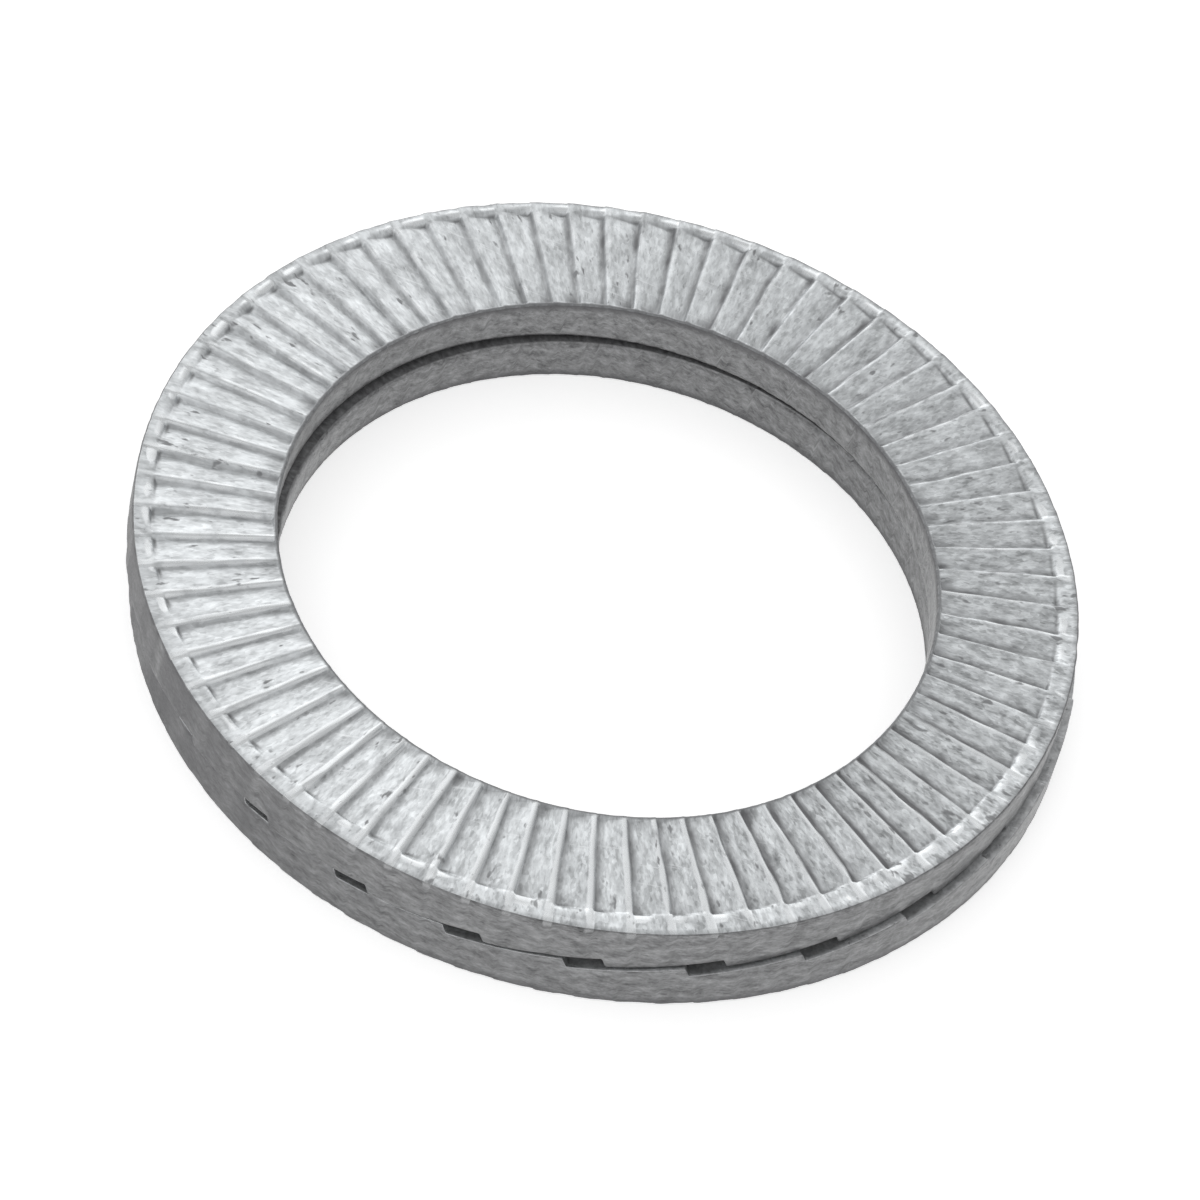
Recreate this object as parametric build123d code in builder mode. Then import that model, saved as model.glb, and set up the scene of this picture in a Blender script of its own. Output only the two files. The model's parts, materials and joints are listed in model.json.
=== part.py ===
"""Wedge lock washer pair for an M20 bolt: two identical stampings, glued cam face to cam face.

The frame has its origin at the middle of the pair's lower face, with +Z along the bore.
Sizes are in millimetres and angles in degrees.
"""

import os
from math import cos, degrees, radians, sin, tan

from build123d import *

# Ring
outer_diameter = 30.7
bore_diameter = 21.4
pair_thickness = 3.4
edge_break = 0.1

# Saw teeth struck into the outer face, between a plain rim and a thin lip at the bore
tooth_count = 75
tooth_depth = 0.18
tooth_land = 0.55
tooth_flank = 0.6
rim_width = 0.67
lip_width = 0.15
end_slope = 50
strike_offset = 0.12
strike_toward = 272

# Wedge cams on the inner face, and the plain band round the bore that they stop at
cam_count = 25
cam_rise = 0.34
cam_land = 0.5
cam_step = 0.6
teeth_from_cams = 1.5
band_width = 1
band_gap = 0.2

# How the two halves are glued: turned a little up their cams, and slightly off centre
glue_film = 0.02
climb_turn = 5.5
side_slip = 0.3
lower_turn = 2.8

# The ring and its teeth, worked out
outer_radius = outer_diameter / 2
bore_radius = bore_diameter / 2
teeth_inner = bore_radius + lip_width
teeth_outer = outer_radius - rim_width
tooth_pitch = 360 / tooth_count
tooth_slope = tooth_pitch - tooth_land - tooth_flank
end_run = 1 / tan(radians(end_slope))
strike_x = strike_offset * cos(radians(strike_toward))
strike_y = strike_offset * sin(radians(strike_toward))

# The cams and the stack, worked out
cam_ramp = 360 / cam_count - cam_land - cam_step
rise_per_degree = cam_rise / cam_ramp
band_radius = bore_radius + band_width
slip_clearance = rise_per_degree * degrees(side_slip / band_radius)
cam_gap = glue_film + slip_clearance
climb_height = rise_per_degree * (cam_land + climb_turn)
valley_height = (pair_thickness - cam_rise - climb_height - cam_gap) / 2
crest_height = valley_height + cam_rise
band_height = (pair_thickness - band_gap) / 2
band_foot = valley_height / 2
upper_turn = lower_turn + cam_ramp + cam_land + climb_turn
past_face = 1

# One tooth recess: a long slope down to its root at angle 0, then a steep flank back up
with BuildPart() as tooth_recess:
    for angle, depth in ((-tooth_slope, 0), (0, tooth_depth), (tooth_flank, 0)):
        with BuildSketch(Plane.XZ.rotated((0, 0, angle))):
            with BuildLine():
                Polyline(
                    (teeth_inner - past_face * end_run, -past_face),
                    (teeth_inner + depth * end_run, depth),
                    (teeth_outer - depth * end_run, depth),
                    (teeth_outer + past_face * end_run, -past_face),
                    close=True,
                )
            make_face()
    loft(ruled=True)

# One cam recess: a steep step down to its valley at angle 0, then a ramp back up to the crest
with BuildPart() as cam_recess:
    for angle, floor in ((-cam_step, crest_height), (0, valley_height), (cam_ramp, crest_height)):
        with BuildSketch(Plane.XZ.rotated((0, 0, angle))):
            with BuildLine():
                Polyline(
                    (bore_radius - past_face, floor),
                    (outer_radius + past_face, floor),
                    (outer_radius + past_face, crest_height + past_face),
                    (bore_radius - past_face, crest_height + past_face),
                    close=True,
                )
            make_face()
    loft(ruled=True)

# The stamping as it lies on its teeth: serrated face at z = 0, cams on top
with BuildPart() as stamping:
    with BuildSketch(Plane.XY):
        Circle(outer_radius)
        Circle(bore_radius, mode=Mode.SUBTRACT)
    extrude(amount=crest_height)
    serrated_rim = stamping.edges().group_by(Axis.Z)[0].sort_by(SortBy.RADIUS)[-1]
    chamfer(serrated_rim, length=edge_break)
    with PolarLocations(0, cam_count):
        add(cam_recess.part, mode=Mode.SUBTRACT)
    with BuildSketch(Plane.XY.offset(band_foot)):
        Circle(band_radius)
        Circle(bore_radius, mode=Mode.SUBTRACT)
    extrude(amount=band_height - band_foot)
    with BuildSketch(Plane.XY.offset(band_height)):
        Circle(band_radius)
    extrude(amount=crest_height - band_height, mode=Mode.SUBTRACT)
    with Locations([
        Location((strike_x, strike_y, 0), (0, 0, teeth_from_cams + tooth_pitch * tooth)) for tooth in range(tooth_count)
    ]):
        add(tooth_recess.part, mode=Mode.SUBTRACT)

# Lower half: teeth down, slipped to one side
with BuildPart() as lower_washer:
    with Locations(Location((side_slip / 2, 0, 0), (0, 0, lower_turn))):
        add(stamping.part)

# Upper half: the same stamping turned over about X, so its own turn runs the other way
with BuildPart() as upper_washer:
    with Locations(Location((-side_slip / 2, 0, pair_thickness), (180, 0, -upper_turn))):
        add(stamping.part)

lower_washer.part.label = "lower_washer"
upper_washer.part.label = "upper_washer"

os.makedirs("parts", exist_ok=True)
export_step(lower_washer.part, "parts/lower_washer.step")
export_step(upper_washer.part, "parts/upper_washer.step")
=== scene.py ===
"""Dresses a wedge lock washer pair: two zinc-flake coated stampings, glued cam face to cam face.

Each stamping is one closed mesh. Around the ring it has columns, closer together at the tooth
and cam edges, and each column holds the same loop of section points. Sizes are in millimetres
and angles in degrees until a mesh is made, which is in metres.
"""

import json
import logging
import math
from dataclasses import dataclass
from enum import Enum

import bpy
import numpy as np
from mathutils import Matrix, Vector

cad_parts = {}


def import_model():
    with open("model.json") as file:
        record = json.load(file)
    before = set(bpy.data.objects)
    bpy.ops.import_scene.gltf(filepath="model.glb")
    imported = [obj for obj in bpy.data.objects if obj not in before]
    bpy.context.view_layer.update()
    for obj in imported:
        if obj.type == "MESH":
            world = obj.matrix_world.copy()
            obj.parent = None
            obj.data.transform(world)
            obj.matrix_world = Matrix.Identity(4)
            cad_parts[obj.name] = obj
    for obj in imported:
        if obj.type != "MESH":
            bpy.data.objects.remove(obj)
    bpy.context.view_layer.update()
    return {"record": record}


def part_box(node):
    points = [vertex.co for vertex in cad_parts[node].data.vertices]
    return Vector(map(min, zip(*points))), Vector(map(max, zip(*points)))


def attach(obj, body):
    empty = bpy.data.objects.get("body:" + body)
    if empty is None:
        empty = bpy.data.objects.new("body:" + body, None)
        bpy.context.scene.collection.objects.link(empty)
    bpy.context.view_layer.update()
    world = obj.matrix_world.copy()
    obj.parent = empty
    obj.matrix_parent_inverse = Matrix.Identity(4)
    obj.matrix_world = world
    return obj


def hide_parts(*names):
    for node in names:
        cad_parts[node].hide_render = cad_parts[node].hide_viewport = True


log = logging.getLogger("washer_pair")

MM = 0.001
BODY = "root"
Colour = tuple[float, float, float, float]
Array = np.ndarray
Socket = bpy.types.NodeSocket
Tree = bpy.types.NodeTree
WHITE = (1.0, 1.0, 1.0, 1.0)


class Surface(Enum):
    """The surfaces of a stamping that are finished in their own way, the sheared and cammed ones also darker
    with painted shade; the value is its material's index.
    """

    SERRATED = 0
    SHEARED = 1
    CAMMED = 2


@dataclass(frozen=True)
class Ring:
    """The plain ring that a stamping is struck from."""

    outer_radius: float
    bore_radius: float
    height: float
    outer_round: float = 0.08
    bore_round: float = 0.08
    cam_round: float = 0.05
    band_width: float = 1.0
    band_height: float = 1.6
    flare: float = 0.08
    flare_rise: float = 0.2
    flare_edge: float = 0.02

    @property
    def section_length(self) -> float:
        """Length around the cross-section."""
        return 2 * (self.outer_radius - self.bore_radius + self.height)

    @classmethod
    def from_frame(cls, node: str, record: dict) -> "Ring":
        """Reads the ring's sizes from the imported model.

        Args:
            node: CAD node of one stamping.
            record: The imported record, which holds the bore mount.

        Returns:
            The ring of that node.
        """
        low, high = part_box(node)
        bore = next(mount for mount in record["mounts"] if mount["kind"] == "bore")
        return cls(
            outer_radius=(high.y - low.y) / 2 / MM,
            bore_radius=bore["dims"]["r_mm"],
            height=(high.z - low.z) / MM,
        )


@dataclass(frozen=True)
class Relief:
    """Smooth random relief on a ring's skin, the same at both ends of a full turn.

    draw is the number of its own random draw.
    """

    draw: int
    cell: float
    height: float
    stretch: float = 1.0
    fewest_cells: int = 4

    def over(self, ring: Ring, turn: Array, across: Array, seed: int) -> Array:
        """Samples the relief.

        Args:
            ring: The ring that it lies on.
            turn: Angle around the ring, in degrees.
            across: Length along the cross-section.
            seed: The stamping's seed.

        Returns:
            Heights, one for each place.
        """
        girth = 2 * math.pi * ring.outer_radius
        around_cells = max(self.fewest_cells, round(girth / self.cell))
        across_cells = max(self.fewest_cells, round(ring.section_length / (self.cell * self.stretch)))
        lattice = np.random.default_rng(seed + self.draw).normal(size=(around_cells, across_cells))
        u = turn / 360 * around_cells
        v = across / ring.section_length * across_cells
        u, v = np.broadcast_arrays(u, v)
        i, j = np.floor(u).astype(int), np.floor(v).astype(int)
        s, t = smooth(u - i), smooth(v - j)
        i0, i1 = i % around_cells, (i + 1) % around_cells
        j0, j1 = j % across_cells, (j + 1) % across_cells
        near = lattice[i0, j0] * (1 - s) + lattice[i1, j0] * s
        far = lattice[i0, j1] * (1 - s) + lattice[i1, j1] * s
        return self.height * (near * (1 - t) + far * t)


@dataclass(frozen=True)
class Hump:
    """A soft-edged stripe at some distance from a line."""

    middle: float
    width: float

    def over(self, distance: Array) -> Array:
        """Strength of the stripe at every distance, at most 1."""
        return np.exp(-((distance - self.middle) / self.width) ** 2)


@dataclass(frozen=True)
class Patch:
    """Dirt or wear that lies thickest towards one side of a ring."""

    toward: float
    spread: float
    amount: float
    least: float = 0.0

    def over(self, turn: Array) -> Array:
        """How much there is at every angle round the ring."""
        away = (turn - self.toward + 180) % 360 - 180
        return self.least + self.amount * np.exp(-(away / self.spread) ** 2)


def smooth(t: Array) -> Array:
    """Smoothstep of t, which is from 0 to 1."""
    return t * t * (3 - 2 * t)


def soft_min(a: Array, b: Array, blend: float) -> Array:
    """The lesser of two heights, rounded where they are closer together than the blend."""
    near = np.clip(0.5 + 0.5 * (b - a) / blend, 0, 1)
    return b * (1 - near) + a * near - blend * near * (1 - near)


def rounded(angle: Array, knots: tuple, heights: tuple, period: float, half_width: float) -> Array:
    """A profile of straight runs that repeats around the ring, with its corners rounded.

    Args:
        angle: Where to read the profile.
        knots: Angles of its corners within one period.
        heights: Its height at each corner.
        period: How often it repeats.
        half_width: Reach of the rounding, to each side of a corner.

    Returns:
        The profile's height at each angle.
    """
    readings, taper = 7, 1.25
    offsets = np.linspace(-half_width, half_width, readings)
    weights = 1 - np.abs(offsets) / (half_width * taper)
    total = sum(
        weight * np.interp(angle + offset, knots, heights, period=period)
        for offset, weight in zip(offsets, weights)
    )
    return total / weights.sum()


@dataclass(frozen=True)
class SawTeeth:
    """The radial teeth struck into a stamping's outer face, between its rim and the lip at the bore."""

    count: int = 75
    depth: float = 0.145
    land: float = 0.45
    flank: float = 0.45
    rim_width: float = 0.62
    lip_width: float = 0.11
    lip_drop: float = 0.015
    end_steepness: float = 1.6
    strike_offset: float = 0.19
    strike_toward: float = 272.0
    edge_rounding: float = 0.22
    end_blend: float = 0.03
    start: float = 1.5
    flank_columns: int = 6
    land_columns: int = 4
    slope_columns: int = 12

    @property
    def pitch(self) -> float:
        """Angle from one tooth to the next."""
        return 360 / self.count

    def stations(self) -> Array:
        """Angles of the columns that draw every tooth, closer together at its edges."""
        runs = (
            (0.0, self.flank, self.flank_columns),
            (self.flank, self.land, self.land_columns),
            (self.flank + self.land, self.pitch - self.land - self.flank, self.slope_columns),
        )
        one = np.concatenate([
            begin + length * (1 - np.cos(np.pi * np.arange(steps) / steps)) / 2
            for begin, length, steps in runs
        ])
        return (self.start + one + self.pitch * np.arange(self.count)[:, None]).ravel() % 360

    def recess(self, aim: Array, shift: Array | float = 0.0) -> Array:
        """How deep the teeth's long profile lies under their crests, away from the pockets' ends.

        Args:
            aim: Angle about the teeth's own centre.
            shift: Small angle by which each place's tooth is struck off its mark.

        Returns:
            Depths, from 0 on a crest to the full depth at a root.
        """
        knots = (0.0, self.flank, self.flank + self.land, self.pitch)
        heights = (self.depth, 0.0, 0.0, self.depth)
        return rounded(aim - self.start + shift, knots, heights, self.pitch, self.edge_rounding)

    def number(self, aim: Array) -> Array:
        """Number of the tooth pocket at each angle, counted from crest to crest."""
        past_crest = aim - self.start - self.flank - self.land / 2
        return np.floor(past_crest / self.pitch).astype(int) % self.count

    def crossing(self, aim: Array, radius: Array) -> tuple[Array, Array]:
        """Where a line from the teeth's own centre crosses a circle about the ring's axis.

        Args:
            aim: The line's angle.
            radius: The circle's radius.

        Returns:
            The crossing's angle about the ring's axis, and its reach from the teeth's centre.
        """
        lean = np.radians(aim - self.strike_toward)
        aside = self.strike_offset * np.sin(lean)
        reach = np.sqrt(radius ** 2 - aside ** 2) - self.strike_offset * np.cos(lean)
        return aim - np.degrees(np.arcsin(aside / radius)), reach

    def end_radius(self, aim: Array, reach: float) -> Array:
        """Distance from the ring's axis of a place at some reach from the teeth's own centre."""
        lean = np.radians(aim - self.strike_toward)
        return np.sqrt(reach ** 2 + self.strike_offset ** 2 + 2 * reach * self.strike_offset * np.cos(lean))


@dataclass(frozen=True)
class WedgeCams:
    """The wedge-shaped cams on a stamping's inner face."""

    count: int = 25
    rise: float = 0.34
    land: float = 0.5
    step: float = 0.6
    edge_rounding: float = 0.15
    step_columns: int = 7

    @property
    def pitch(self) -> float:
        """Angle from one cam to the next."""
        return 360 / self.count

    def stations(self) -> Array:
        """Angles of extra columns along every cam's step."""
        one = np.linspace(-self.step - self.edge_rounding, self.edge_rounding, self.step_columns)
        return (one + self.pitch * np.arange(self.count)[:, None]).ravel() % 360

    def drop(self, turn: Array) -> Array:
        """How far the cam face lies under its crests.

        Args:
            turn: Angle around the stamping.

        Returns:
            Drops, from 0 on a crest to the full rise in a valley.
        """
        knots = (0.0, self.pitch - self.land - self.step, self.pitch - self.step, self.pitch)
        heights = (self.rise, 0.0, 0.0, self.rise)
        return rounded(turn, knots, heights, self.pitch, self.edge_rounding)


@dataclass(frozen=True)
class Strikes:
    """How unevenly the punch struck, and what each strike pushed up beside its pocket."""

    wander: Relief = Relief(draw=1, cell=0.5, height=0.033, stretch=1.6)
    turn_error: float = 0.04
    depth_error: float = 0.08
    outer_error: float = 0.03
    inner_error: float = 0.02
    groove: float = 0.45
    groove_reach: float = 0.25
    rim_echo: float = 0.085
    rim_lean: float = 0.6
    bead_height: float = 0.055
    bead: Hump = Hump(middle=0.14, width=0.13)
    fullness: float = 1.5


@dataclass(frozen=True)
class Seat:
    """Where a stamping lies in the glued pair: its turn, its slip to one side, and which way up."""

    node: str
    turn: float
    turned_over: bool
    seed: int

    @property
    def side(self) -> int:
        """1 for a stamping with its teeth down, and -1 for one turned over."""
        return -1 if self.turned_over else 1

    def centre_x(self) -> float:
        """How far the stamping has slipped along X, in millimetres."""
        low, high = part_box(self.node)
        return (low.x + high.x) / 2 / MM

    def around(self, turn: Array) -> Array:
        """Angles in the frame of places at these angles around the stamping."""
        return self.turn + self.side * turn

    def place(self, radius: Array, turn: Array, height: Array) -> Array:
        """Moves points from the stamping's own place to the frame.

        Args:
            radius: Distances from the stamping's axis.
            turn: Angles around it.
            height: Heights above its serrated face.

        Returns:
            Points in millimetres, with their coordinates along the last axis.
        """
        low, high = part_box(self.node)
        angle = np.radians(self.around(turn))
        base = (high.z if self.turned_over else low.z) / MM
        return np.stack([
            self.centre_x() + radius * np.cos(angle),
            radius * np.sin(angle),
            base + self.side * height,
        ], axis=-1)


@dataclass(frozen=True)
class Places:
    """Where the vertices of one stamping lie, as its painted light and wear need to know.

    tooth_turn is the angle past the last root, struck the share of the full tooth depth, inside_end
    and past_lip the distances from the pockets' two ends, partner the distance from the other
    stamping's axis, and around the angle in the frame.
    """

    ring: Ring
    teeth: SawTeeth
    turn: Array
    around: Array
    radius: Array
    height: Array
    reach: Array
    tooth_turn: Array
    struck: Array
    inside_end: Array
    past_lip: Array
    partner: Array
    uneven: Array

    @property
    def up_slope(self) -> Array:
        """Distance up the long slope from the next root."""
        return np.radians(self.teeth.pitch - self.tooth_turn) * self.reach

    @property
    def on_face(self) -> Array:
        """Whether a vertex is on the serrated face."""
        depth_limit, bore_margin = 1.6 * self.teeth.depth, 0.1
        return (self.height < depth_limit) & (self.radius > self.ring.bore_radius + bore_margin)


@dataclass(frozen=True)
class PaintedLightAndWear:
    """Where painted shade darkens a stamping, where painted highlights and handling wear brighten it, and
    where its grain is coarser.
    """

    patches: Relief = Relief(draw=5, cell=0.45, height=0.3)
    coarse_grain: Patch = Patch(toward=40, spread=75, amount=1.0)
    # Painted shade: in the roots, strongest towards two sides of the ring, and on the flanks, strongest
    # towards one.
    root_shade: Patch = Patch(toward=55, spread=45, amount=0.85, least=0.28)
    back_root_shade: Patch = Patch(toward=-60, spread=42, amount=0.4)
    shaded_flanks: Patch = Patch(toward=-34, spread=48, amount=0.34)
    # Painted shade along the pockets' outer ends, strongest towards one side of the ring, with painted
    # highlights in their corners.
    end_shade_and_glint: Patch = Patch(toward=-30, spread=55, amount=0.8)
    # Painted shade on the rounded outer edge, strongest towards one side of the ring.
    rim_edge_shade: Patch = Patch(toward=-40, spread=80, amount=0.7, least=0.15)
    # Painted shade on the outer wall, strongest towards the left front.
    wall_shade: Patch = Patch(toward=205, spread=32, amount=0.85)
    # Bright crests: partly handling wear all round, partly a painted highlight that is strongest towards one
    # side of the ring.
    crest_glint_and_wear: Patch = Patch(toward=115, spread=75, amount=0.9, least=0.5)
    # Bands of painted shade along the pockets' outer ends and behind the lip.
    end_line: Hump = Hump(middle=0.08, width=0.06)
    behind_lip_shade: Hump = Hump(middle=0.12, width=0.25)
    # Bands for the painted highlight in the pockets' outer corners.
    corner_end: Hump = Hump(middle=0.27, width=0.11)
    corner_root: Hump = Hump(middle=0.22, width=0.14)
    # Band for the painted highlight on the beads outside the pockets' ends.
    bead: Hump = Hump(middle=0.16, width=0.13)

    def mottle(self, at: Places) -> Array:
        """How much coarser the coat's grain is on the serrated face."""
        return self.coarse_grain.over(at.turn) * at.on_face

    def in_teeth(self, at: Places) -> Array:
        """Painted shade in the roots, on the flanks, along the pockets' outer ends and behind the lip.

        Args:
            at: Where the vertices lie.

        Returns:
            Its strength at every vertex.
        """
        flank_reach, slope_reach, flank_margin, coarse_spread = 0.08, 0.12, 0.1, 0.32
        end_mark, end_rise, end_shade_rise = 0.85, 1.5, 3
        lip_shade_base, lip_shade_from_roots, lip_shade_spots = 0.3, 0.5, 2
        in_pocket = at.inside_end > 0
        # Painted shade along the roots, strongest towards two sides of the ring.
        root_shade_level = self.root_shade.over(at.turn) + self.back_root_shade.over(at.turn)
        up_flank = np.radians(at.tooth_turn) * at.reach
        from_root = np.minimum(up_flank / flank_reach, at.up_slope / slope_reach)
        width = 1 + coarse_spread * self.mottle(at)
        root = root_shade_level * np.exp(-(from_root / width) ** 2) * in_pocket
        # Painted shade on the flanks, strongest towards one side of the ring.
        flank = self.shaded_flanks.over(at.turn) * (at.tooth_turn < at.teeth.flank + flank_margin)
        # Painted shade along the pockets' outer ends.
        marked = end_mark * np.minimum(end_rise * at.struck ** 3, 1)
        end_shade = self.end_shade_and_glint.over(at.turn) * np.minimum(end_shade_rise * at.struck, 1)
        ends = self.end_line.over(at.inside_end) * np.maximum(marked, end_shade)
        # Painted shade behind the lip at the bore, deeper where the roots are darker.
        behind_lip = (lip_shade_base + lip_shade_from_roots * root_shade_level) * self.behind_lip_shade.over(at.past_lip) * at.struck
        lines = np.maximum(root, flank * in_pocket) * (1 + at.uneven)
        return np.maximum(lines, np.maximum(ends, behind_lip * (1 + lip_shade_spots * at.uneven))) * at.on_face

    def soil(self, at: Places) -> Array:
        """Painted shade in the teeth, along the outer and bore edges, between the stampings and on the outer
        wall.

        Args:
            at: Where the vertices lie.

        Returns:
            Its strength at every vertex, where 1 hides the coat.
        """
        ring = at.ring
        rim_depth, rim_reach, rim_fade = 2.2 * ring.outer_round, 0.11, 0.05
        bore_edge_shade, lip_depth, lip_reach, lip_fade = 0.85, 2.5 * ring.bore_round, 0.15, 0.07
        gap_shade_level, cover_fade, cover_edge, wall_skin = 0.8, 1.8, 0.02, 0.01
        # Painted shade on the rounded outer edge, strongest towards one side of the ring.
        rim_shade = self.rim_edge_shade.over(at.turn) * (at.height < rim_depth)
        rim_shade *= np.clip((at.radius - ring.outer_radius + rim_reach) / rim_fade, 0, 1)
        # Painted shade along the bore edge, all round.
        lip = bore_edge_shade * np.clip((ring.bore_radius + lip_reach - at.radius) / lip_fade, 0, 1)
        lip *= at.height < lip_depth
        # Painted shade on the cam faces between the two stampings, deeper the further they lie under the
        # other stamping.
        gap_shade = gap_shade_level * np.clip((ring.outer_radius - at.partner) / cover_fade, 0, 1)
        gap_shade *= (at.height > ring.height / 2) & (at.radius > ring.bore_radius + ring.flare)
        gap_shade *= at.radius < ring.outer_radius - cover_edge
        # Painted shade on the outer wall, strongest towards the left front.
        shaded_wall = self.wall_shade.over(at.around) * (1 + at.uneven)
        shaded_wall *= at.radius > ring.outer_radius - wall_skin
        return np.maximum.reduce([self.in_teeth(at), gap_shade, rim_shade, lip, shaded_wall])

    def crest(self, at: Places, soil: Array) -> Array:
        """How much painted highlight and handling wear brighten every vertex.

        Args:
            at: Where the vertices lie.
            soil: How strong the painted shade is there.

        Returns:
            The brightening, where 1 is a bright crest.
        """
        rub_start, rub_level, rub_fade = 0.15, 1.3, 0.45
        corner_glint, corner_back, coarse_rub = 0.5, 1.2, 0.3
        bead_rise, bead_glint, bead_spots = 1.5, 1.05, 4
        unshaded_level, shade_hides = 1.1, 1.2
        # Painted highlight and wear along the crests and the start of the long slope, the highlight
        # strongest towards one side of the ring.
        down_slope = np.maximum(at.tooth_turn - at.teeth.flank - at.teeth.land, 0)
        glint_and_wear = self.crest_glint_and_wear.over(at.turn) * np.clip(rub_level - down_slope / rub_fade, 0, 1)
        glint_and_wear = glint_and_wear * (at.tooth_turn > rub_start)
        # Painted highlight in the pockets' outer corners, stronger where their ends are painted darker.
        corner = self.corner_end.over(at.inside_end) * self.corner_root.over(at.up_slope)
        corner = (corner_glint + corner_back * self.end_shade_and_glint.over(at.turn)) * corner
        glint_and_wear = np.maximum.reduce([glint_and_wear, corner, coarse_rub * self.mottle(at)])
        # Painted highlight on the beads outside the pockets' ends.
        bead = self.bead.over(-at.inside_end) * np.minimum(bead_rise * at.struck, 1)
        glint_and_wear_total = np.maximum(glint_and_wear * (1 + at.uneven), bead * (bead_glint + bead_spots * at.uneven))
        # No brightening where painted shade lies thick.
        return glint_and_wear_total * at.on_face * np.clip(unshaded_level - shade_hides * soil, 0, 1)


@dataclass
class Stamping:
    """One washer of the pair, as a dense mesh in the form of its CAD node."""

    ring: Ring
    teeth: SawTeeth
    cams: WedgeCams
    seat: Seat
    strikes: Strikes = Strikes()
    lumps: Relief = Relief(draw=2, cell=0.9, height=0.006)
    grit: Relief = Relief(draw=3, cell=0.35, height=0.005)
    shear: Relief = Relief(draw=4, cell=0.3, height=0.007, stretch=4)
    painted_light_and_wear: PaintedLightAndWear = PaintedLightAndWear()

    @property
    def outer_end(self) -> float:
        """Reach of the tooth pockets' outer ends from the teeth's centre."""
        return self.ring.outer_radius - self.teeth.rim_width

    @property
    def inner_end(self) -> float:
        """Radius of the tooth pockets' inner ends, about the ring's own axis."""
        return self.ring.bore_radius + self.teeth.lip_width

    def columns(self) -> Array:
        """Angles of the mesh's columns about the teeth's centre, in order, with no two at one place."""
        closest = 0.01
        cams = self.cams.stations()
        there, _ = self.teeth.crossing(cams, np.full_like(cams, self.ring.outer_radius))
        aims = np.sort(np.concatenate([self.teeth.stations(), (2 * cams - there) % 360]))
        return aims[np.diff(aims, prepend=aims[-1] - 360) > closest]

    def face_depth(self, aim: Array, radius: Array) -> Array:
        """How deep the serrated face lies under the crests.

        Args:
            aim: Angles about the teeth's centre.
            radius: Distances from the ring's axis.

        Returns:
            Depths of the face.
        """
        teeth, strikes, seed = self.teeth, self.strikes, self.seat.seed
        turn, reach = teeth.crossing(aim, radius)
        tooth = teeth.number(aim)
        errors = np.random.default_rng(seed).normal(size=(4, teeth.count))
        turn_error, depth_error, outer_error, inner_error = (error[tooth] for error in errors)
        wander = strikes.wander.over(self.ring, turn, radius, seed)
        shift = np.degrees(wander / radius) + strikes.turn_error * turn_error
        depth = teeth.recess(aim, shift) * (1 + strikes.depth_error * depth_error)
        outer_end = self.outer_end + strikes.outer_error * outer_error
        inner_end = self.inner_end + strikes.inner_error * inner_error
        inside_end = np.maximum(outer_end - reach, 0)
        depth = depth * (1 + strikes.groove * np.exp(-inside_end / strikes.groove_reach))
        rim = self.rim_depth(aim, reach - outer_end)
        depth = soft_min(depth, inside_end * teeth.end_steepness + rim, teeth.end_blend)
        lip = np.maximum(radius - inner_end, 0) * teeth.end_steepness
        return np.maximum(soft_min(depth, lip + teeth.lip_drop, teeth.end_blend), 0)

    def rim_depth(self, aim: Array, beyond: Array) -> Array:
        """The faint echo of the teeth on the rim, and the bead that each strike pushed up there.

        Args:
            aim: Angles about the teeth's centre.
            beyond: Distances outside the pockets' outer ends.

        Returns:
            Depths under the crests.
        """
        strikes = self.strikes
        recess = self.teeth.recess(aim)
        struck = np.minimum(strikes.fullness * recess / self.teeth.depth, 1)
        lean = np.clip(1 - beyond / strikes.rim_lean, 0, 1)
        return (strikes.rim_echo * lean - strikes.bead_height * strikes.bead.over(beyond)) * struck

    def face_radii(self, aim: Array) -> Array:
        """Radii of the section points on the serrated face, from the bore outwards.

        Args:
            aim: The columns' angles about the teeth's centre, as a column vector.

        Returns:
            The radii, one row for each column.
        """
        ring, teeth = self.ring, self.teeth
        before_end, past_end = 0.08, 0.05
        lip_steps, pocket_steps, end_steps, rim_steps = 5, 8, 6, 4
        end_run = teeth.depth / teeth.end_steepness + teeth.end_blend
        pocket_in = np.full_like(aim, self.inner_end) + end_run
        outer_end = teeth.end_radius(aim, self.outer_end)
        end_in = outer_end - end_run - before_end
        end_out = outer_end + past_end
        face_in = np.full_like(aim, ring.bore_radius + ring.bore_round)
        face_out = np.full_like(aim, ring.outer_radius - ring.outer_round)
        stretches = (
            (face_in, pocket_in, lip_steps),
            (pocket_in, end_in, pocket_steps),
            (end_in, end_out, end_steps),
            (end_out, face_out, rim_steps),
        )
        runs = [begin + (end - begin) * (np.arange(steps) / steps) for begin, end, steps in stretches]
        return np.concatenate([*runs, face_out], axis=1)

    def section(self, aim: Array) -> tuple[Array, Array, Array]:
        """Lays the loop of section points through every column.

        Args:
            aim: The columns' angles about the teeth's centre, as a column vector.

        Returns:
            Radius and height of every point, and the surface that each section step belongs to.
        """
        ring = self.ring
        arc_steps, wall_steps, corner_cut = 4, 5, 0.3
        cam_edge_near, cam_edge_far = 0.16, 0.34
        band_middle, flare_margin, flare_middle = 0.4, 1.5, 0.3
        face = self.face_radii(aim)
        top = self.face_depth(aim, face)
        arc = np.radians(90 * np.arange(1, arc_steps + 1) / arc_steps)
        outer_r = ring.outer_radius - ring.outer_round + ring.outer_round * np.sin(arc)
        outer_z = top[:, -1:] + ring.outer_round * (1 - np.cos(arc))
        inner_r = ring.bore_radius + ring.bore_round - ring.bore_round * np.sin(arc[::-1])
        inner_z = top[:, :1] + ring.bore_round * (1 - np.cos(arc[::-1]))

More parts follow.
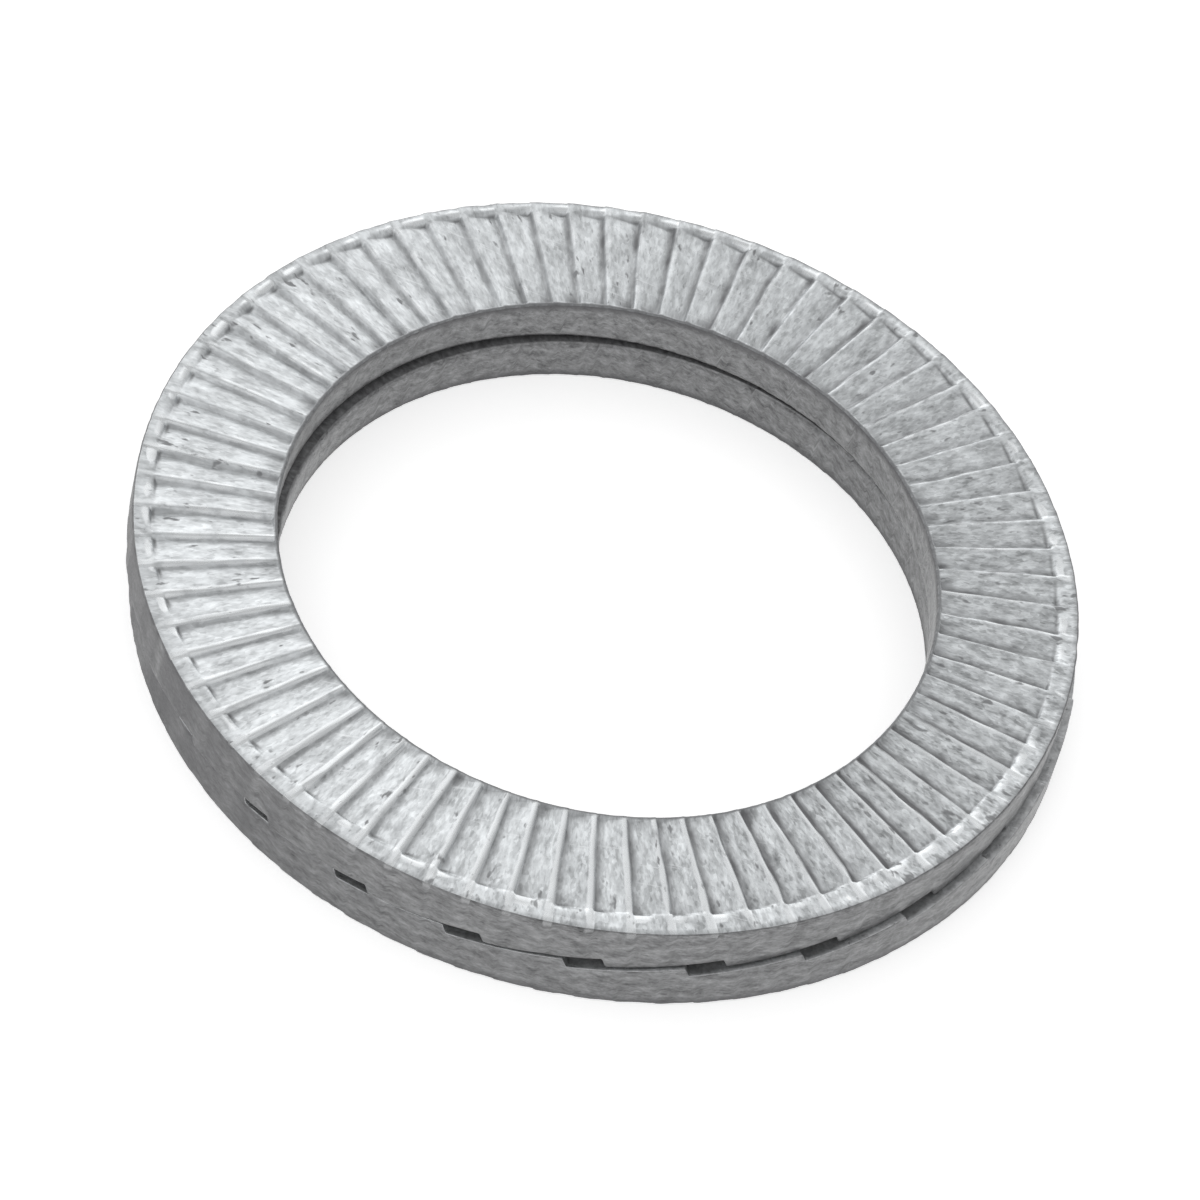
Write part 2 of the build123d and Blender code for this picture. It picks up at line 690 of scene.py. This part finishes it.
        band_radius = ring.bore_radius + ring.band_width
        cam_r = np.array([
            ring.outer_radius - ring.cam_round * corner_cut,
            ring.outer_radius - ring.cam_round,
            ring.outer_radius - cam_edge_near,
            ring.outer_radius - cam_edge_far,
            (ring.outer_radius + band_radius) / 2,
            band_radius + ring.cam_round,
        ])
        turn, _ = self.teeth.crossing(aim, cam_r)
        cam_z = ring.height - self.cams.drop(turn)
        wall_top = cam_z[:, :1] - ring.cam_round
        cam_z[:, 0] -= ring.cam_round * corner_cut
        band = np.array([ring.band_width, band_middle, ring.flare * flare_margin])
        band_r = ring.bore_radius + band
        band_z = np.full_like(band_r, ring.band_height)
        flare = np.array([0.0, flare_middle, 1.0])
        flare_r = ring.bore_radius + ring.flare * (1 - flare) ** 2
        flare_z = ring.band_height - ring.flare_edge - (ring.flare_rise - ring.flare_edge) * flare

        wall = np.linspace(0, 1, wall_steps + 1)[1:]
        outer_wall_z = outer_z[:, -1:] + wall * (wall_top - outer_z[:, -1:])
        inner_wall = wall[:-1][::-1]
        inner_wall_z = inner_z[:, :1] + inner_wall * (flare_z[-1] - inner_z[:, :1])
        runs = (
            (face, top),
            (outer_r, outer_z),
            (np.full_like(wall, ring.outer_radius), outer_wall_z),
            (cam_r, cam_z),
            (band_r, band_z),
            (flare_r, flare_z),
            (np.full_like(inner_wall, ring.bore_radius), inner_wall_z),
            (inner_r, inner_z),
        )
        ones = np.ones_like(aim)
        radius = np.concatenate([ones * run_r for run_r, _ in runs], axis=1)
        height = np.concatenate([ones * run_z for _, run_z in runs], axis=1)
        steps = (
            (Surface.SERRATED, face.shape[1]),
            (Surface.SHEARED, arc.size + wall.size),
            (Surface.CAMMED, cam_r.size + band_r.size - 1),
            (Surface.SHEARED, flare_r.size + inner_wall.size + 2),
            (Surface.SERRATED, arc.size - 1),
        )
        return radius, height, np.concatenate([np.full(count, kind.value) for kind, count in steps])

    def build(self) -> bpy.types.Object:
        """Makes the stamping's mesh.

        Returns:
            The new object, in place in the frame, with its shading attributes.
        """
        aim = self.columns()[:, None]
        radius, height, surface = self.section(aim)
        turn, _ = self.teeth.crossing(aim, radius)
        lengths = np.hypot(
            np.diff(radius, axis=1, append=radius[:, :1]),
            np.diff(height, axis=1, append=height[:, :1]),
        )
        lengths = np.roll(lengths, 1, axis=1)
        lengths[:, 0] = 0
        across = np.cumsum(lengths, axis=1)
        points = self.seat.place(radius, turn, height)
        points = self.roughen(points, turn, across, surface)
        mesh = grid_mesh(self.seat.node + "_coated", points * MM, surface)
        self.add_attributes(mesh, aim, radius, height, across, points)
        piece = bpy.data.objects.new(mesh.name, mesh)
        bpy.context.scene.collection.objects.link(piece)
        log.info("%s: %d columns, %d faces", piece.name, len(aim), len(mesh.polygons))
        return piece

    def roughen(self, points: Array, turn: Array, across: Array, surface: Array) -> Array:
        """Presses small lumps and shear marks into the skin.

        Args:
            points: The mesh's points, by column and section step.
            turn: Angles of the points.
            across: Lengths along the section.
            surface: Surface of every section step.

        Returns:
            The moved points.
        """
        shortest = 1e-9
        along = np.roll(points, -1, axis=0) - np.roll(points, 1, axis=0)
        over = np.roll(points, -1, axis=1) - np.roll(points, 1, axis=1)
        normal = np.cross(along, over)
        normal /= np.maximum(np.linalg.norm(normal, axis=-1, keepdims=True), shortest)
        where = (self.ring, turn, across, self.seat.seed)
        pressed = self.lumps.over(*where) + self.grit.over(*where)
        pressed += np.where(surface == Surface.SHEARED.value, self.shear.over(*where), 0)
        return points - normal * np.abs(pressed)[..., None] * outward_sign(points)

    def add_attributes(
        self, mesh: bpy.types.Mesh, aim: Array, radius: Array,
        height: Array, across: Array, points: Array,
    ) -> None:
        """Writes what the finishes read: where painted shade lies, where painted highlights and wear
        brighten, how coarse the grain is, and the lay of the skin.

        Args:
            mesh: The stamping's mesh.
            aim: Angles of the columns about the teeth's centre.
            radius: Distances from the ring's axis.
            height: Heights above the serrated face.
            across: Lengths along the section.
            points: The mesh's points.
        """
        ring, teeth, seat = self.ring, self.teeth, self.seat
        turn, reach = teeth.crossing(aim, radius)
        places = Places(
            ring=ring,
            teeth=teeth,
            turn=turn,
            around=seat.around(turn),
            radius=radius,
            height=height,
            reach=reach,
            tooth_turn=(aim - teeth.start) % teeth.pitch,
            struck=teeth.recess(aim) / teeth.depth,
            inside_end=self.outer_end - reach,
            past_lip=radius - self.inner_end,
            partner=np.hypot(points[..., 0] + seat.centre_x(), points[..., 1]),
            uneven=self.painted_light_and_wear.patches.over(ring, turn, radius, seat.seed),
        )
        soil = self.painted_light_and_wear.soil(places)
        lay = np.broadcast_arrays(np.radians(aim) * ring.outer_radius, across, 0 * across)
        add_attribute(mesh, "soil", soil)
        add_attribute(mesh, "crest", self.painted_light_and_wear.crest(places, soil))
        add_attribute(mesh, "mottle", self.painted_light_and_wear.mottle(places))
        add_attribute(mesh, "lay", np.stack(lay, axis=-1))


def outward_sign(points: Array) -> float:
    """1 if a grid's cross products, along x over, point out of its solid, and -1 if into it."""
    along, over = np.roll(points, -1, axis=0), np.roll(points, -1, axis=1)
    return float(np.sign(np.einsum("ijk,ijk->", points, np.cross(along, over))))


def grid_mesh(name: str, points: Array, surface: Array) -> bpy.types.Mesh:
    """Makes a closed mesh from points that wrap around both ways.

    Args:
        name: The mesh's name.
        points: Points in metres, by column and section step.
        surface: Material index of every section step.

    Returns:
        The smooth-shaded mesh, with its faces turned outwards.
    """
    columns, steps = points.shape[:2]
    index = np.arange(columns * steps).reshape(columns, steps)
    ahead = np.roll(index, -1, axis=0)
    quads = [index, ahead, np.roll(ahead, -1, axis=1), np.roll(index, -1, axis=1)]
    if outward_sign(points) < 0:
        quads.reverse()
    corners = np.stack(quads, axis=-1).reshape(-1, len(quads))
    starts = np.arange(0, corners.size, len(quads), dtype=np.int32)
    mesh = bpy.data.meshes.new(name)
    mesh.vertices.add(columns * steps)
    mesh.vertices.foreach_set("co", points.astype(np.float32).ravel())
    mesh.loops.add(corners.size)
    mesh.loops.foreach_set("vertex_index", corners.astype(np.int32).ravel())
    mesh.polygons.add(len(corners))
    mesh.polygons.foreach_set("loop_start", starts)
    mesh.polygons.foreach_set("loop_total", np.full_like(starts, len(quads)))
    mesh.polygons.foreach_set("material_index", np.tile(surface, columns).astype(np.int32))
    mesh.update(calc_edges=True)
    mesh.shade_smooth()
    return mesh


def add_attribute(mesh: bpy.types.Mesh, name: str, values: Array) -> None:
    """Adds a point attribute, of vectors if the values have a third axis and else of numbers.

    Args:
        mesh: The mesh.
        name: The attribute's name.
        values: One value for each vertex, by column and section step.
    """
    kind, field = ("FLOAT_VECTOR", "vector") if values.ndim == 3 else ("FLOAT", "value")
    made = mesh.attributes.new(name, kind, "POINT")
    made.data.foreach_set(field, values.astype(np.float32).ravel())


class Nodes:
    """A node tree with short calls to fill it."""

    def __init__(self, tree: Tree) -> None:
        """Takes over a tree and empties it."""
        self.tree = tree
        tree.nodes.clear()

    def add(self, kind: str, **settings: object) -> bpy.types.Node:
        """Adds a node.

        Args:
            kind: The node's type, without its ShaderNode prefix.
            settings: Properties of the node, by name.

        Returns:
            The node.
        """
        node = self.tree.nodes.new(kind if kind.startswith("Node") else "ShaderNode" + kind)
        for name, value in settings.items():
            setattr(node, name, value)
        return node

    def put(self, socket: Socket, value: object) -> None:
        """Links an input to an output socket, or sets it to a value."""
        if isinstance(value, Socket):
            self.tree.links.new(value, socket)
        else:
            socket.default_value = value

    def feed(self, node: bpy.types.Node, **inputs: object) -> bpy.types.Node:
        """Sets or links a node's inputs.

        Args:
            node: The node.
            inputs: Values or output sockets, by the input's name with its spaces as underscores.

        Returns:
            The same node.
        """
        for name, value in inputs.items():
            self.put(node.inputs[name.replace("_", " ")], value)
        return node

    def math(self, operation: str, first: object, second: object, clamp: bool = False) -> Socket:
        """Combines two numbers.

        Args:
            operation: The Math node's operation.
            first: A value or an output socket.
            second: A value or an output socket.
            clamp: Whether the result is kept from 0 to 1.

        Returns:
            The result's socket.
        """
        node = self.add("Math", operation=operation, use_clamp=clamp)
        self.put(node.inputs[0], first)
        self.put(node.inputs[1], second)
        return node.outputs[0]

    def scaled(self, value: object, factor: object, offset: object) -> Socket:
        """A value times a factor, plus an offset."""
        return self.math("ADD", self.math("MULTIPLY", value, factor), offset)

    def remap(self, value: Socket, low: float, high: float, to_high: float = 1.0) -> Socket:
        """Remaps a number smoothly, so that low gives 0 and high gives to_high, and clamps it."""
        node = self.add("MapRange", interpolation_type="SMOOTHSTEP")
        return self.feed(node, Value=value, From_Min=low, From_Max=high, To_Max=to_high).outputs[0]

    def mix(self, factor: object, first: object, second: object, blend: str = "MIX") -> Socket:
        """Mixes two colours; the factor is how much of the second is taken."""
        node = self.add("Mix", data_type="RGBA", blend_type=blend)
        return self.feed(node, Factor=factor, A=first, B=second).outputs["Result"]

    def noise(self, vector: Socket, scale: object, detail: float, roughness: float = 0.55) -> Socket:
        """Adds a noise texture; the roughness is how strong its finer octaves are."""
        node = self.add("TexNoise")
        return self.feed(node, Vector=vector, Scale=scale, Detail=detail, Roughness=roughness).outputs["Fac"]


def node_group(
    name: str, inputs: dict[str, float | None], outputs: tuple[str, ...]
) -> tuple[Nodes, list[Socket], bpy.types.Node]:
    """Starts a shader node group.

    Args:
        name: The group's name.
        inputs: Default of each input, by name; None is for a vector, and the rest are numbers.
        outputs: Names of the outputs, which are numbers.

    Returns:
        The group's nodes, its input sockets in their order, and its output node.
    """
    tree = bpy.data.node_groups.new(name, "ShaderNodeTree")
    for label, default in inputs.items():
        kind = "NodeSocketVector" if default is None else "NodeSocketFloat"
        socket = tree.interface.new_socket(name=label, in_out="INPUT", socket_type=kind)
        if default is not None:
            socket.default_value = default
    for label in outputs:
        tree.interface.new_socket(name=label, in_out="OUTPUT", socket_type="NodeSocketFloat")
    nodes = Nodes(tree)
    given = list(nodes.add("NodeGroupInput").outputs)[:len(inputs)]
    return nodes, given, nodes.add("NodeGroupOutput")


def flake_grain_group() -> Tree:
    """Flakes of zinc in their binder: a fine grain over broad clouds, where the coat is thicker or thinner.

    Returns:
        The group, with outputs Shade, Gloss and Height.
    """
    fine_scale, broad_scale = 0.36, 0.12
    flake_share, fine_share, fine_height = 0.3, 1.3, 0.6
    mean_grain, mean_cloud = 0.8, 0.5
    nodes, (vector, scale, grain_amount, cloud_amount), out = node_group(
        "flake_grain",
        {"Vector": None, "Flakes per mm": 12.0, "Grain": 0.3, "Clouds": 0.3},
        ("Shade", "Gloss", "Height"),
    )
    flakes = nodes.feed(nodes.add("TexVoronoi", feature="F1"), Vector=vector, Scale=scale, Randomness=1.0)
    tone = nodes.feed(nodes.add("SeparateColor"), Color=flakes.outputs["Color"])
    fine = nodes.noise(vector, nodes.math("MULTIPLY", scale, fine_scale), detail=3, roughness=0.6)
    broad = nodes.noise(vector, nodes.math("MULTIPLY", scale, broad_scale), detail=3, roughness=0.6)
    grain = nodes.scaled(tone.outputs[0], flake_share, nodes.math("MULTIPLY", fine, fine_share))
    grain = nodes.math("SUBTRACT", grain, mean_grain)
    clouds = nodes.math("MULTIPLY", nodes.math("SUBTRACT", broad, mean_cloud), cloud_amount)
    shade = nodes.math("ADD", nodes.scaled(grain, grain_amount, clouds), 1.0)
    height = nodes.scaled(fine, fine_height, broad)
    nodes.feed(out, Shade=shade, Gloss=tone.outputs[1], Height=height)
    return nodes.tree


def pitting_group() -> Tree:
    """Dark specks, where the coating is thin or has caught dirt, and painted shade from the Soil input,
    spotted by the same noise.

    Returns:
        The group, with outputs Mask and Height.
    """
    cloud_scale, cloud_share, mean_cloud = 0.21, 0.5, 0.5
    speck_low, speck_high, speck_strength = 0.64, 0.76, 0.8
    patchiness, thinnest = 0.9, 0.55
    nodes, (vector, scale, share, soil), out = node_group(
        "pitting",
        {"Vector": None, "Pits per mm": 3.0, "Share": 0.2, "Soil": 0.0},
        ("Mask", "Height"),
    )
    spots = nodes.noise(vector, scale, detail=2, roughness=0.5)
    clouds = nodes.noise(vector, nodes.math("MULTIPLY", scale, cloud_scale), detail=2)
    clouds = nodes.math("MULTIPLY", nodes.math("SUBTRACT", clouds, mean_cloud), cloud_share)
    level = nodes.math("ADD", spots, clouds)
    specks = nodes.remap(nodes.math("ADD", level, share), speck_low, speck_high)
    specks = nodes.math("MULTIPLY", specks, speck_strength)
    # Painted shade from the Soil input, broken up by the specks' noise.
    spotted_shade = nodes.math("MULTIPLY", soil, nodes.scaled(spots, patchiness, thinnest))
    mask = nodes.math("MAXIMUM", specks, spotted_shade, clamp=True)
    nodes.feed(out, Mask=mask, Height=nodes.math("MULTIPLY", specks, -1.0))
    return nodes.tree


def wear_and_highlight_group() -> Tree:
    """Burnished marks where crests and faces have rubbed on other washers: spots, and short fine scratches;
    where the Edge input is strong, painted highlights.

    Returns:
        The group, with output Mask.
    """
    edge_share, rub_share, amount_share = 0.45, 0.7, 0.2
    rub_low, rub_high = 0.62, 0.92
    scratch_scale, scratch_low, scratch_high = 1.3, 0.66, 0.74
    scratch_turns, scratch_stretch = (0.5, 2.1), (0.5, 9.0, 1.0)
    nodes, (vector, edge, scale, amount), out = node_group(
        "handling_wear",
        {"Vector": None, "Edge": 0.0, "Marks per mm": 2.0, "Amount": 0.5},
        ("Mask",),
    )
    rub = nodes.noise(vector, scale, detail=4, roughness=0.6)
    # The Edge input brings painted highlights as well as wear.
    level = nodes.scaled(edge, edge_share, nodes.math("MULTIPLY", rub, rub_share))
    mask = nodes.remap(nodes.scaled(amount, amount_share, level), rub_low, rub_high)
    for turn in scratch_turns:
        drawn = nodes.add("Mapping")
        nodes.feed(drawn, Vector=vector, Rotation=(0.0, 0.0, turn), Scale=scratch_stretch)
        line = nodes.noise(drawn.outputs[0], scratch_scale, detail=2, roughness=0.4)
        scratch = nodes.math("MULTIPLY", nodes.remap(line, scratch_low, scratch_high), amount)
        mask = nodes.math("MAXIMUM", mask, scratch, clamp=True)
    nodes.feed(out, Mask=mask)
    return nodes.tree


@dataclass(frozen=True)
class ZincFlakeFinish:
    """Matt silver-grey zinc-flake coating over one kind of steel surface, darkened where dirt specks and
    painted shade lie and brightened where wear and painted highlights lie.
    """

    name: str
    base: Colour
    bright: Colour
    dark: Colour
    metallic: float = 0.85
    roughness: float = 0.3
    flake_roughness: float = 0.16
    wear_and_highlight_gloss: float = 0.1
    dirt_and_shade_roughness: float = 0.15
    flakes_per_mm: float = 11.0
    grain: float = 0.75
    mottled_grain: float = 0.65
    clouds: float = 1.1
    pits_per_mm: float = 3.6
    pit_share: float = -0.01
    mottled_pits: float = 0.025
    wear: float = 0.4
    streak: float = 1.0
    bump: float = 0.35
    bump_depth: float = 0.02
    grain_height: float = 0.35

    def make(self, groups: list[Tree]) -> bpy.types.Material:
        """Builds the material.

        Args:
            groups: The shared groups for flake grain, pitting with painted shade, and wear with painted
                highlights.

        Returns:
            The material.
        """
        material = bpy.data.materials.new(self.name)
        material.use_nodes = True
        nodes = Nodes(material.node_tree)
        in_mm = nodes.add("VectorMath", operation="SCALE")
        nodes.feed(in_mm, Vector=nodes.add("TexCoord").outputs["Object"], Scale=1 / MM)
        lay = nodes.add("Attribute", attribute_name="lay").outputs["Vector"]
        drawn = nodes.feed(nodes.add("Mapping"), Vector=lay, Scale=(1.0, 1.0 / self.streak, 1.0)).outputs[0]
        names = ("soil", "crest", "mottle")
        soil, crest, mottle = (nodes.add("Attribute", attribute_name=name).outputs["Fac"] for name in names)

        grain, pits, rub = (nodes.add("Group", node_tree=group) for group in groups)
        coarse = nodes.scaled(mottle, self.mottled_grain, self.grain)
        nodes.feed(grain, Vector=drawn, Flakes_per_mm=self.flakes_per_mm, Grain=coarse, Clouds=self.clouds)
        share = nodes.scaled(mottle, self.mottled_pits, self.pit_share)
        nodes.feed(pits, Vector=drawn, Pits_per_mm=self.pits_per_mm, Share=share, Soil=soil)
        nodes.feed(rub, Vector=in_mm.outputs[0], Edge=crest, Amount=self.wear)
        # The pits' mask holds dirt specks and painted shade, and the wear mask holds handling wear and
        # painted highlights.
        dirt_and_shade, polish_and_highlight = pits.outputs["Mask"], rub.outputs["Mask"]

        level = grain.outputs["Shade"]
        shade = nodes.feed(nodes.add("CombineColor"), Red=level, Green=level, Blue=level)
        colour = nodes.mix(1.0, self.base, shade.outputs[0], "MULTIPLY")
        # Painted highlights and wear lighten towards the bright colour; painted shade and dirt darken
        # towards the dark one.
        colour = nodes.mix(polish_and_highlight, colour, self.bright)
        colour = nodes.mix(dirt_and_shade, colour, self.dark)
        rough = nodes.scaled(grain.outputs["Gloss"], self.flake_roughness, self.roughness)
        rough = nodes.math("SUBTRACT", rough, nodes.math("MULTIPLY", polish_and_highlight, self.wear_and_highlight_gloss))
        rough = nodes.math("ADD", rough, nodes.math("MULTIPLY", dirt_and_shade, self.dirt_and_shade_roughness), clamp=True)
        metal = nodes.math("MULTIPLY", nodes.math("SUBTRACT", 1.0, dirt_and_shade, clamp=True), self.metallic)
        relief = nodes.scaled(grain.outputs["Height"], self.grain_height, pits.outputs["Height"])
        bump = nodes.add("Bump")
        nodes.feed(bump, Strength=self.bump, Distance=self.bump_depth * MM, Height=relief)
        shader = nodes.add("BsdfPrincipled")
        nodes.feed(shader, Base_Color=colour, Roughness=rough, Metallic=metal, Normal=bump.outputs[0])
        nodes.feed(nodes.add("OutputMaterial"), Surface=shader.outputs[0])
        return material


def direction(azimuth: float, elevation: float) -> Vector:
    """Unit vector at an azimuth and an elevation, in degrees."""
    a, e = math.radians(azimuth), math.radians(elevation)
    return Vector((math.cos(a) * math.cos(e), math.sin(a) * math.cos(e), math.sin(e)))


@dataclass(frozen=True)
class SoftPanel:
    """A broad soft light far away, as a patch of brightness on the world."""

    name: str
    azimuth: float
    elevation: float
    spread: float
    radiance: float


@dataclass
class Studio:
    """Pale floor, soft light and camera."""

    distance: float = 221.3
    azimuth: float = -90.03
    elevation: float = 48.37
    aim: tuple[float, float, float] = (-0.067, -0.563, 1.7)
    roll: float = 15.13
    lens: float = 207.0
    clip_start: float = 10.0
    clip_end: float = 60000.0
    floor_radius: float = 3000.0
    floor_corners: int = 64
    floor_colour: Colour = (0.9, 0.9, 0.9, 1.0)
    floor_lift: float = 0.5
    ambient: float = 0.75
    panels: tuple[SoftPanel, ...] = (
        SoftPanel("back", azimuth=100, elevation=12, spread=50, radiance=1.02),
        SoftPanel("back_left", azimuth=145, elevation=22, spread=45, radiance=0.6),
        SoftPanel("front_left", azimuth=215, elevation=45, spread=45, radiance=0.4),
        SoftPanel("front", azimuth=260, elevation=25, spread=50, radiance=0.25),
        SoftPanel("right", azimuth=325, elevation=12, spread=45, radiance=0.35),
    )

    def add_floor(self) -> None:
        """Lays the floor at z = 0, as a disc that is part of the stage."""
        mesh = bpy.data.meshes.new("floor")
        turns = [2 * math.pi * corner / self.floor_corners for corner in range(self.floor_corners)]
        reach = self.floor_radius * MM
        ring = [(reach * math.cos(turn), reach * math.sin(turn), 0.0) for turn in turns]
        mesh.from_pydata(ring, [], [tuple(range(self.floor_corners))])
        floor = bpy.data.objects.new("floor", mesh)
        bpy.context.scene.collection.objects.link(floor)
        mesh.materials.append(self.floor_material())

    def floor_material(self) -> bpy.types.Material:
        """Matt near-white, a little lifted where the camera or a reflection sees it.

        Returns:
            The floor's material.
        """
        material = bpy.data.materials.new("pale_floor")
        material.use_nodes = True
        nodes = Nodes(material.node_tree)
        path = nodes.add("LightPath")
        seen = nodes.math("MAXIMUM", path.outputs["Is Camera Ray"], path.outputs["Is Glossy Ray"])
        seen = nodes.math("MAXIMUM", seen, path.outputs["Is Transmission Ray"])
        lift = nodes.math("MULTIPLY", seen, self.floor_lift)
        shader = nodes.add("BsdfPrincipled")
        nodes.feed(shader, Base_Color=self.floor_colour, Roughness=1.0, Specular_IOR_Level=0.0)
        nodes.feed(shader, Emission_Color=WHITE, Emission_Strength=lift)
        nodes.feed(nodes.add("OutputMaterial"), Surface=shader.outputs[0])
        return material

    def add_world(self) -> None:
        """Lights the scene with the soft panels, and shows white to the camera."""
        world = bpy.data.worlds.new("soft_studio")
        bpy.context.scene.world = world
        world.use_nodes = True
        nodes = Nodes(world.node_tree)
        towards = nodes.add("TexCoord").outputs["Generated"]
        light: object = self.ambient
        for panel in self.panels:
            dot = nodes.add("VectorMath", operation="DOT_PRODUCT", label=panel.name)
            nodes.put(dot.inputs[0], towards)
            nodes.put(dot.inputs[1], direction(panel.azimuth, panel.elevation))
            edge = math.cos(math.radians(panel.spread))
            light = nodes.math("ADD", nodes.remap(dot.outputs["Value"], edge, 1.0, panel.radiance), light)
        seen = nodes.add("LightPath").outputs["Is Camera Ray"]
        shown = nodes.feed(nodes.add("Mix", data_type="FLOAT"), Factor=seen, A=light, B=1.0)
        back = nodes.feed(nodes.add("Background"), Strength=shown.outputs[0])
        nodes.feed(nodes.add("OutputWorld"), Surface=back.outputs[0])

    def add_camera(self) -> None:
        """Places the camera at the viewing angle, turned about its own axis by the roll."""
        off = direction(self.azimuth, self.elevation) * self.distance
        place = (Vector(self.aim) + off) * MM
        data = bpy.data.cameras.new("camera")
        data.lens = self.lens
        data.clip_start = self.clip_start * MM
        data.clip_end = self.clip_end * MM
        camera = bpy.data.objects.new("camera", data)
        bpy.context.scene.collection.objects.link(camera)
        look = (Vector(self.aim) * MM - place).to_track_quat("-Z", "Y").to_matrix().to_4x4()
        roll = Matrix.Rotation(math.radians(self.roll), 4, "Z")
        camera.matrix_world = Matrix.Translation(place) @ look @ roll
        bpy.context.scene.camera = camera

    def build(self) -> None:
        """Makes the whole stage."""
        self.add_floor()
        self.add_world()
        self.add_camera()
        bpy.context.scene.view_settings.view_transform = "Standard"


@dataclass
class WasherPair:
    """The two stampings as they are glued."""

    record: dict
    teeth: SawTeeth = SawTeeth()
    cams: WedgeCams = WedgeCams()
    seats: tuple[Seat, ...] = (
        Seat("lower_washer", turn=2.8, turned_over=False, seed=11),
        Seat("upper_washer", turn=22.1, turned_over=True, seed=23),
    )

    def finishes(self) -> list[ZincFlakeFinish]:
        """The finishes, in the order of the surfaces; the sheared and cammed ones are darker with painted
        shade.
        """
        steel = (0.615, 0.637, 0.65, 1.0)
        bright = (0.795, 0.818, 0.832, 1.0)
        dark = (0.15, 0.152, 0.158, 1.0)
        # The coat on the sheared walls, darker than on the serrated face as painted shade.
        shaded_cut_steel = (0.22, 0.222, 0.225, 1.0)
        shaded_cut_bright = (0.36, 0.365, 0.37, 1.0)
        shaded_cut_dark = (0.11, 0.11, 0.115, 1.0)
        # The coat on the cam faces, a little darker than on the serrated face as painted shade, and the
        # painted shade colour that they take between the stampings.
        shaded_cam_steel = (0.46, 0.468, 0.475, 1.0)
        shade = (0.045, 0.045, 0.047, 1.0)
        return [
            ZincFlakeFinish("zinc_flake_serrated", steel, bright, dark, streak=2.2),
            ZincFlakeFinish(
                "zinc_flake_sheared", shaded_cut_steel, shaded_cut_bright, shaded_cut_dark, streak=0.4, clouds=1.9, wear=0.15
            ),
            ZincFlakeFinish("zinc_flake_cammed", shaded_cam_steel, bright, shade),
        ]

    def build(self) -> None:
        """Makes and dresses both stampings."""
        groups = [flake_grain_group(), pitting_group(), wear_and_highlight_group()]
        materials = [finish.make(groups) for finish in self.finishes()]
        for seat in self.seats:
            ring = Ring.from_frame(seat.node, self.record)
            piece = Stamping(ring, self.teeth, self.cams, seat).build()
            for material in materials:
                piece.data.materials.append(material)
            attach(piece, BODY)
            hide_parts(seat.node)


def main() -> None:
    """Builds the dressed pair on its stage."""
    logging.basicConfig(level=logging.INFO, format="%(message)s")
    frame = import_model()
    WasherPair(frame["record"]).build()
    Studio().build()


if __name__ == "__main__":
    main()
